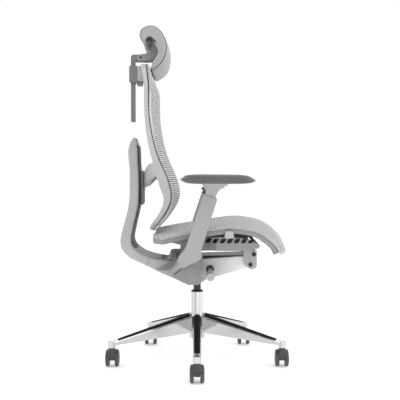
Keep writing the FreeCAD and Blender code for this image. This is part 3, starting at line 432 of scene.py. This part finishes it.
def ribbon_strand(points, normals, width, thickness):
    """Flat-oval yarn along points that lie on a surface."""
    section = [(math.cos(math.radians(a)), math.sin(math.radians(a))) for a in (0, 55, 125, 180, 235, 305)]
    vertices = []
    count = len(points)
    for index, here in enumerate(points):
        along = (points[min(index + 1, count - 1)] - points[max(index - 1, 0)]).normalized()
        side = along.cross(normals[index]).normalized()
        for across, out in section:
            vertices.append(here + side * (across * width / 2) + normals[index] * (out * thickness / 2))
    sides = len(section)
    return vertices, grid_faces(count, sides) + end_faces(count, sides)


def evenly(line, pitch):
    """Places on a line of points, one every pitch along its length, half a pitch in from its ends."""
    steps = [0.0]
    for before, after in zip(line, line[1:]):
        steps.append(steps[-1] + (after - before).length)
    count = int(steps[-1] / pitch)
    spare = (steps[-1] - (count - 1) * pitch) / 2
    targets = [spare + pitch * i for i in range(count)]
    found = []
    for axis in range(3):
        found.append(np.interp(targets, steps, [p[axis] for p in line]))
    return [Vector(values) for values in zip(*found)]


def knit_mesh(name, node, direction, start, end, pitch, rib, yarn, wrap):
    """Stretched knit: cross ribs side to side, with lengthwise yarns under them.

    start and end are places at mid-width over the first and last rib. rib and yarn are (width, thickness).
    wrap is how far a rib's end turns down over the edge."""
    surface = Surface(node, direction)
    inward = Vector(direction)
    low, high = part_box(node)
    middle_line = []
    for step in range(MIDLINE_STEPS + 1):
        hit = surface.at(Vector(start).lerp(Vector(end), step / MIDLINE_STEPS))
        if hit:
            middle_line.append(hit[0])
    parts = []
    warp = []
    grid = []
    for centre in evenly(middle_line, pitch):
        reach = []
        for side in (low.y - 0.01, high.y + 0.01):
            reach.append(surface.edge(centre, (centre.x, side, centre.z)).y)
        points = []
        normals = []
        for step in range(RIB_STEPS + 1):
            share = 0.5 - 0.5 * math.cos(math.pi * step / RIB_STEPS)
            y = reach[0] + (reach[1] - reach[0]) * (0.001 + 0.998 * (0.35 * share + 0.65 * step / RIB_STEPS))
            hit = surface.at((centre.x, y, centre.z))
            if hit is None:
                continue
            points.append(hit[0] + hit[1] * (rib[1] * 0.15))
            normals.append(hit[1])
        for end_index, side in ((0, -1), (-1, 1)):
            edge = points[end_index]
            turned = edge + Vector((0, side * 0.0012, 0)) + inward * 0.002
            last = turned + inward * wrap
            out = Vector((0, side, 0))
            if side < 0:
                points[:0] = [last, turned]
                normals[:0] = [out, (out - inward).normalized()]
            else:
                points += [turned, last]
                normals += [(out - inward).normalized(), out]
        parts.append(ribbon_strand(points, normals, *rib))
        grid.append((points[2:-2], normals[2:-2]))
    for column in range(YARN_COUNT):
        points = []
        normals = []
        share = (column + 0.5) / YARN_COUNT
        for row_points, row_normals in grid:
            place = share * (len(row_points) - 1)
            index = min(int(place), len(row_points) - 2)
            blend = place - index
            normal = row_normals[index].lerp(row_normals[index + 1], blend).normalized()
            points.append(row_points[index].lerp(row_points[index + 1], blend) - normal * (rib[1] * 0.45))
            normals.append(normal)
        warp.append(ribbon_strand(points, normals, *yarn))
    piece = joined(name, parts, PAINTS[SLOT_OF[node]])
    under = joined(name + "_warp", warp, PAINTS["warp_grey"])
    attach(under, BODY_OF[node])
    width = high.y - low.y
    length = sum((b - a).length for a, b in zip(middle_line, middle_line[1:]))
    return stand_for(piece, node), under, width, length


def make_back_mesh():
    low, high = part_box("back_mesh")
    piece, under, width, length = knit_mesh("back_mesh_knit", "back_mesh", (-1, 0, 0),
                                            (0, 0, high.z - 0.002), (0, 0, low.z + 0.002),
                                            0.0074, (0.0052, 0.0020), (0.0020, 0.0011), 0.006)


def make_seat_mesh():
    low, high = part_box("seat_mesh")
    piece, under, width, length = knit_mesh("seat_mesh_knit", "seat_mesh", (0, 0, -1), (low.x + 0.002, 0, 0),
                                            (high.x - 0.001, 0, 0), 0.0056, (0.0047, 0.0017),
                                            (0.0020, 0.0012), 0.008)


def section_loop(piece, place, normal):
    """Points round the outline where a plane cuts a closed mesh."""
    shape = bmesh.new()
    shape.from_mesh(piece.data)
    everything = list(shape.verts) + list(shape.edges) + list(shape.faces)
    cut = bmesh.ops.bisect_plane(shape, geom=everything, plane_co=place, plane_no=normal)
    edges = {item for item in cut["geom_cut"] if isinstance(item, bmesh.types.BMEdge)}
    start = min((edge.verts[0] for edge in edges), key=lambda vertex: (vertex.co.z, vertex.co.x))
    points = [start.co.copy()]
    here = start
    while True:
        step = next((edge for edge in here.link_edges if edge in edges), None)
        if step is None:
            break
        edges.discard(step)
        here = step.other_vert(here)
        if here == start:
            break
        points.append(here.co.copy())
    shape.free()
    return points


def evened_loop(points, count):
    """A closed line of points spaced evenly and smoothed a little."""
    line = points + [points[0]]
    steps = [0.0]
    for before, after in zip(line, line[1:]):
        steps.append(steps[-1] + (after - before).length)
    targets = [steps[-1] * i / count for i in range(count)]
    found = [np.interp(targets, steps, [p[axis] for p in line]) for axis in range(3)]
    for _ in range(3):
        found = [(np.roll(values, 1) + 2 * values + np.roll(values, -1)) / 4 for values in found]
    return [Vector(values) for values in zip(*found)]


def puffed(piece, voxel, shrink, cap, pressure=4.0):
    """Padded form: the cover swells under the foam's push, held to a cap, as a sewn cushion does."""
    remesh(piece, voxel)
    relax(piece, 3)
    for vertex in piece.data.vertices:
        vertex.co -= vertex.normal * shrink
    start = np.array([v.co for v in piece.data.vertices])
    cloth = piece.modifiers.new("filling", "CLOTH")
    cloth.settings.use_pressure = True
    cloth.settings.uniform_pressure_force = pressure
    cloth.settings.effector_weights.gravity = 0
    cloth.settings.quality = 4
    cloth.settings.mass = 0.3
    cloth.settings.tension_stiffness = 30
    cloth.settings.compression_stiffness = 30
    cloth.settings.bending_stiffness = 3
    for step in range(1, 21):
        bpy.context.scene.frame_set(step)
    bake_modifiers(piece)
    bpy.context.scene.frame_set(1)
    moved = np.array([v.co for v in piece.data.vertices]) - start
    length = np.maximum(np.linalg.norm(moved, axis=1, keepdims=True), 1e-9)
    held = start + moved * np.minimum(1.0, cap / length)
    piece.data.vertices.foreach_set("co", held.ravel())
    finer = piece.modifiers.new("finer", "SUBSURF")
    finer.levels = 1
    bake_modifiers(piece)
    return piece


# ---------------------------------------------------------------------------- moulded parts
def make_moulded_parts():
    moulded_shell("spine", 0.0032, 6)
    moulded_shell("back_frame", 0.0032, 4)
    moulded_shell("seat_rim", 0.0034, 4, PAINTS["rim_grey"])
    moulded_shell("seat_pan", 0.0023, 1, PAINTS["rim_grey"])
    moulded_shell("mech_housing", 0.0026, 3, cast_housing())
    for tag, _ in SIDES:
        moulded_shell(f"arm_support_{tag}", 0.0025, 5, PAINTS["sleeve_grey"])
    for index in range(1, 6):
        make_hood(index)


def make_hood(index):
    """Caster hood with shoulders that fall away towards the outer faces of its wheels."""
    node = f"caster_{index}_hood"
    axle_low, axle_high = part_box(f"caster_{index}_wheels")
    centre = (axle_low + axle_high) / 2
    piece = copy_of(node, node + "_moulding")
    remesh(piece, 0.0016)
    for vertex in piece.data.vertices:
        spoke = Vector((0, vertex.co.y - centre.y, vertex.co.z - centre.z))
        share = min(1.0, abs(vertex.co.x - centre.x) / 0.023)
        if spoke.length > 0.024 and spoke.z > -0.004:
            vertex.co -= spoke * (0.115 * share ** 3)
    relax(piece, 4)
    stand_for(piece, node)


def make_pivot_caps():
    """Round trim discs over the tilt pin's ends."""
    pin_low, pin_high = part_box("tilt_pins")
    centre = ((pin_low.x + pin_high.x) / 2, 0.0, (pin_low.z + pin_high.z) / 2)
    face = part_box("pivot_covers")[1].y
    profile = [(0.0, face + 0.0012), (0.012, face + 0.0012), (0.026, face + 0.0010),
               (0.0285, face + 0.0004), (0.0290, face - 0.0006), (0.0, face - 0.0006)]
    for tag, side in SIDES:
        cap = joined(f"pivot_cap_{tag}", [spun(profile, centre, (0, side, 0), 64)], PAINTS["cover_grey"])
        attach(cap, "mechanism")


# Distance from the middle of each dark strip of painted shade behind the pan's slots, and its outline from the
# low corner of the seat pan's box.
PAN_SHADE_STRIPS = (
    (0.2235, ((0.1605, 0.0375), (0.2905, 0.0375), (0.2885, 0.0410), (0.2745, 0.0490), (0.2405, 0.0550),
              (0.1905, 0.0590), (0.1605, 0.0580))),
    (0.1950, ((0.1045, 0.0355), (0.1565, 0.0355), (0.1565, 0.0570), (0.1045, 0.0530))),
)


def make_pan_shade_strips():
    """Dark strips inside the pan's slotted walls: painted shade for the hollow seen through the slots."""
    strips = []
    low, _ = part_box("seat_pan")
    for depth, outline in PAN_SHADE_STRIPS:
        for side in (-1, 1):
            near = [(low.x + x, side * depth, low.z + z) for x, z in outline]
            far = [(low.x + x, side * (depth - 0.0012), low.z + z) for x, z in outline]
            count = len(outline)
            faces = [tuple(range(count)), tuple(range(count, 2 * count))[::-1]]
            faces += [(i, (i + 1) % count, count + (i + 1) % count, count + i) for i in range(count)]
            strips.append((near + far, faces))
    # The dark felt_black finish on these strips is painted shade, not a felt part.
    shade_sheets = joined("pan_shade_strips", strips, PAINTS["felt_black"], False)
    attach(shade_sheets, "seat")


# ---------------------------------------------------------------------------- padded parts
# Side line of the headrest pad at its ends, in metres from its CAD box's low corner: outside of the curl from
# the hook's tip to the lower lip, then its inside.
HEAD_OUTER = ((0.0159, 0.1079), (0.0037, 0.1239), (0.0019, 0.1409), (0.0089, 0.1564), (0.0283, 0.1661),
              (0.0438, 0.1677), (0.0613, 0.1622), (0.0788, 0.1447), (0.0904, 0.1234), (0.0963, 0.1001),
              (0.0924, 0.0731), (0.0827, 0.0497), (0.0671, 0.0303), (0.0419, 0.0128))
HEAD_INNER = ((0.0225, 0.1129), (0.0262, 0.1249), (0.0352, 0.1309), (0.0478, 0.1254), (0.0613, 0.1080),
              (0.0691, 0.0885), (0.0697, 0.0691), (0.0602, 0.0529), (0.0492, 0.0399), (0.0362, 0.0269))
# Places measured the same way: where the pad's swelling starts, the hook's inside, where its back thickens, and
# the ends of its welts.
HEAD_MIDDLE = (0.0372, 0.1279)
HOOK_INSIDE = (0.0372, 0.0629)
THICK_START = (0.0372, 0.1129)
HOOK_TIP = (0.0192, 0.1059)
LOWER_LIP = (0.0422, 0.0189)
# Share of the half width, and how far the front swells there beyond the ends, in metres.
HEAD_STATIONS = ((-1.0, -0.004), (-0.95, 0.0), (-0.9, 0.002), (-0.7, 0.009), (-0.35, 0.013), (0.0, 0.014),
                 (0.35, 0.013), (0.7, 0.009), (0.9, 0.002), (0.95, 0.0), (1.0, -0.004))


def smooth_line(points, count):
    """Points evenly spread on a smooth curve through the given ones."""
    curve = bpy.data.curves.new("line", "CURVE")
    curve.dimensions = "3D"
    run = curve.splines.new("NURBS")
    run.points.add(len(points) - 1)
    for target, (x, z) in zip(run.points, points):
        target.co = (x, 0, z, 1)
    run.order_u = 3
    run.use_endpoint_u = True
    run.resolution_u = 12
    holder = bpy.data.objects.new("line", curve)
    mesh = bpy.data.meshes.new_from_object(holder)
    line = [v.co.copy() for v in mesh.vertices]
    bpy.data.objects.remove(holder)
    bpy.data.curves.remove(curve)
    bpy.data.meshes.remove(mesh)
    steps = np.cumsum([0.0] + [(b - a).length for a, b in zip(line, line[1:])])
    targets = np.linspace(0, steps[-1], count)
    return list(zip(np.interp(targets, steps, [p.x for p in line]),
                    np.interp(targets, steps, [p.z for p in line])))


def loft_rings(rings):
    """Closed skin through rings of equal length, with flat ends."""
    count = len(rings[0])
    vertices = [point for ring in rings for point in ring]
    return vertices, grid_faces(len(rings), count) + end_faces(len(rings), count)


def at_headrest(points):
    """Places of a side line that is measured from the low corner of the headrest pad's box."""
    low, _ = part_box("headrest_pad")
    return [(low.x + x, low.z + z) for x, z in points]


def headrest_block(half_width):
    """Curled pad: end outline swollen forward and down towards its middle."""
    outer = smooth_line(at_headrest(HEAD_OUTER), 40)
    inner = smooth_line(at_headrest(HEAD_INNER), 30)[::-1]
    (middle_x, middle_z), = at_headrest([HEAD_MIDDLE])
    rings = []
    for share, swell in HEAD_STATIONS:
        ring = []
        for x, z in outer:
            forward = max(0.0, min(1.0, (x - middle_x) / 0.045))
            low = max(0.0, min(1.0, (middle_z - z) / 0.09))
            high = max(0.0, min(1.0, (z - middle_z) / 0.03))
            ring.append((x + swell * forward * (0.35 + 0.75 * low), share * half_width,
                         z - swell * 1.35 * low ** 2 + swell * 0.2 * high))
        for x, z in inner:
            ring.append((x, share * half_width, z))
        rings.append(ring)
    return loft_rings(rings)


def make_headrest_back(half_width):
    """Moulded back of the headrest inside the pad's curl: thin in the hook, thick where the yoke holds it."""
    line = smooth_line(at_headrest(HEAD_INNER), 60)[2:54]
    (hook_x, hook_z), (_, thick_z) = at_headrest([HOOK_INSIDE, THICK_START])
    near = []
    far = []
    for index, (x, z) in enumerate(line):
        x0, z0 = line[max(index - 1, 0)]
        x1, z1 = line[min(index + 1, len(line) - 1)]
        length = math.hypot(x1 - x0, z1 - z0)
        out = ((z1 - z0) / length, -(x1 - x0) / length)
        lower = max(0.0, min(1.0, (thick_z - z) / 0.012)) if x > hook_x or z < hook_z else 0.0
        depth = 0.0010 + 0.0068 * lower
        near.append((x - out[0] * depth, z - out[1] * depth))
        far.append((x + out[0] * 0.0030, z + out[1] * 0.0030))
    ring = near + far[::-1]
    rings = [[(x, share * (half_width - 0.006), z) for x, z in ring] for share in (-1, -0.5, 0, 0.5, 1)]
    back = joined("headrest_back", [loft_rings(rings)], PAINTS["felt_black"])
    # Its finish carries painted shade that darkens the upper curl of the hook; the dark first finish is
    # replaced here.
    stand_for(back, "headrest_shell", shell_with_painted_shade())


def outer_part(loop):
    """The run of a headrest outline that faces away from its curl, from the hook's tip to the lower lip."""
    (tip_x, tip_z), (lip_x, lip_z) = at_headrest([HOOK_TIP, LOWER_LIP])
    tip = min(range(len(loop)), key=lambda i: (loop[i] - Vector((tip_x, loop[i].y, tip_z))).length)
    lip = min(range(len(loop)), key=lambda i: (loop[i] - Vector((lip_x, loop[i].y, lip_z))).length)
    one_way = [loop[i % len(loop)] for i in range(tip, lip + (len(loop) if lip < tip else 0) + 1)]
    other_way = [loop[i % len(loop)] for i in range(lip, tip + (len(loop) if tip < lip else 0) + 1)]
    return max((one_way, other_way), key=lambda run: max(p.x for p in run))


def make_headrest_pad():
    low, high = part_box("headrest_pad")
    half_width = high.y - 0.002
    block = joined("headrest_cushion", [headrest_block(half_width)], PAINTS["headrest_fabric"])
    pad = puffed(block, 0.0045, 0.001, 0.004)
    stand_for(pad, "headrest_pad")
    make_headrest_back(half_width)
    for tag, side in SIDES:
        place = side * (max(abs(low.y), abs(high.y)) - 0.011)
        loop = evened_loop(section_loop(pad, (0, place, 0), (0, 1, 0)), 160)
        welt = joined(f"headrest_welt_{tag}", [tube(outer_part(loop), 0.0025, 8)], PAINTS["seam_grey"])
        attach(welt, "headrest")


def make_arm_pads():
    for tag, _ in SIDES:
        node = f"arm_pad_{tag}"
        pad = puffed(copy_of(node, f"arm_cushion_{tag}"), 0.0034, 0.0012, 0.0024, 2.0)
        stand_for(pad, node)


# ---------------------------------------------------------------------------- small marks
def groove(node, side, places, radius):
    """Dark line that follows the outer face of a CAD node through (x, z) places."""
    face = Surface(node, (0, -side, 0))
    hits = [face.at((x, 0, z)) for x, z in places]
    return tube([hit[0] for hit in hits if hit], radius, 8)


def make_spine_seams():
    """Joint line where the back arm's side covers meet."""
    low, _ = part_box("spine")
    for tag, side in SIDES:
        places = [(low.x + 0.0930 + 0.001 * i, low.z + 0.0621 + 0.0024 * i) for i in range(12)]
        seam = joined(f"spine_seam_{tag}", [groove("spine", side, places, 0.0006)], PAINTS["seam_grey"])
        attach(seam, "back_arm")


# ---------------------------------------------------------------------------- stage, light and camera
def make_stage():
    floor = bpy.data.meshes.new("floor")
    reach = 30.0
    floor.from_pydata([(-reach, -reach, 0), (reach, -reach, 0), (reach, reach, 0), (-reach, reach, 0)], [],
                      [(0, 1, 2, 3)])
    ground = bpy.data.objects.new("floor", floor)
    bpy.context.scene.collection.objects.link(ground)
    shader = Shader("pale_floor", (0.9, 0.9, 0.9), 0.8)
    shader.vary_colour(shader.noise(2, 2), 0.985, 1.0)
    shader.surface.inputs["Emission Color"].default_value = (1, 1, 1, 1)
    shader.surface.inputs["Emission Strength"].default_value = 0.30
    floor.materials.append(shader.finish())


def soft_light(name, place, target, width, height, power):
    lamp = bpy.data.lights.new(name, "AREA")
    lamp.shape = "RECTANGLE"
    lamp.size = width
    lamp.size_y = height
    lamp.energy = power
    holder = bpy.data.objects.new(name, lamp)
    holder.location = place
    holder.rotation_euler = (Vector(target) - Vector(place)).to_track_quat("-Z", "Y").to_euler()
    bpy.context.scene.collection.objects.link(holder)


def make_lights():
    world = bpy.data.worlds.new("studio")
    world.use_nodes = True
    world.node_tree.nodes["Background"].inputs["Color"].default_value = (1, 1, 1, 1)
    world.node_tree.nodes["Background"].inputs["Strength"].default_value = 1.0
    bpy.context.scene.world = world
    soft_light("top", (0.5, -0.6, 3.4), (0, 0, 0.5), 3.0, 3.0, 26)
    soft_light("front", (3.4, -1.6, 1.8), (0, 0, 0.6), 1.4, 2.4, 22)
    bpy.context.scene.view_settings.view_transform = "Standard"
    bpy.context.scene.view_settings.look = "None"


def make_camera():
    lens = bpy.data.cameras.new("camera")
    lens.lens = 68.22
    lens.sensor_width = 36.0
    camera = bpy.data.objects.new("camera", lens)
    camera.location = (0.0032, -2.786, 0.6892)
    pitch_down = math.radians(1.9445)
    yaw_right = math.radians(0.1509)
    camera.rotation_euler = (math.pi / 2 - pitch_down, 0.0, -yaw_right)
    bpy.context.scene.collection.objects.link(camera)
    bpy.context.scene.camera = camera


paint_carried_nodes()
paint(frame["nodes"]["headrest_yoke"], PAINTS["sleeve_grey"])
for node in ("seat_carrier", "carrier_pin"):
    paint(frame["nodes"][node], PAINTS["rim_grey"])
paint(frame["nodes"]["pivot_covers"], PAINTS["cover_grey"])
paint(frame["nodes"]["leg_inlays"], PAINTS["inlay_black"])
paint(frame["nodes"]["lift_tube"], PAINTS["chrome_tube"])
make_back_mesh()
make_seat_mesh()
make_moulded_parts()
make_pivot_caps()
make_pan_shade_strips()
make_headrest_pad()
make_arm_pads()
make_spine_seams()
make_stage()
make_lights()
make_camera()
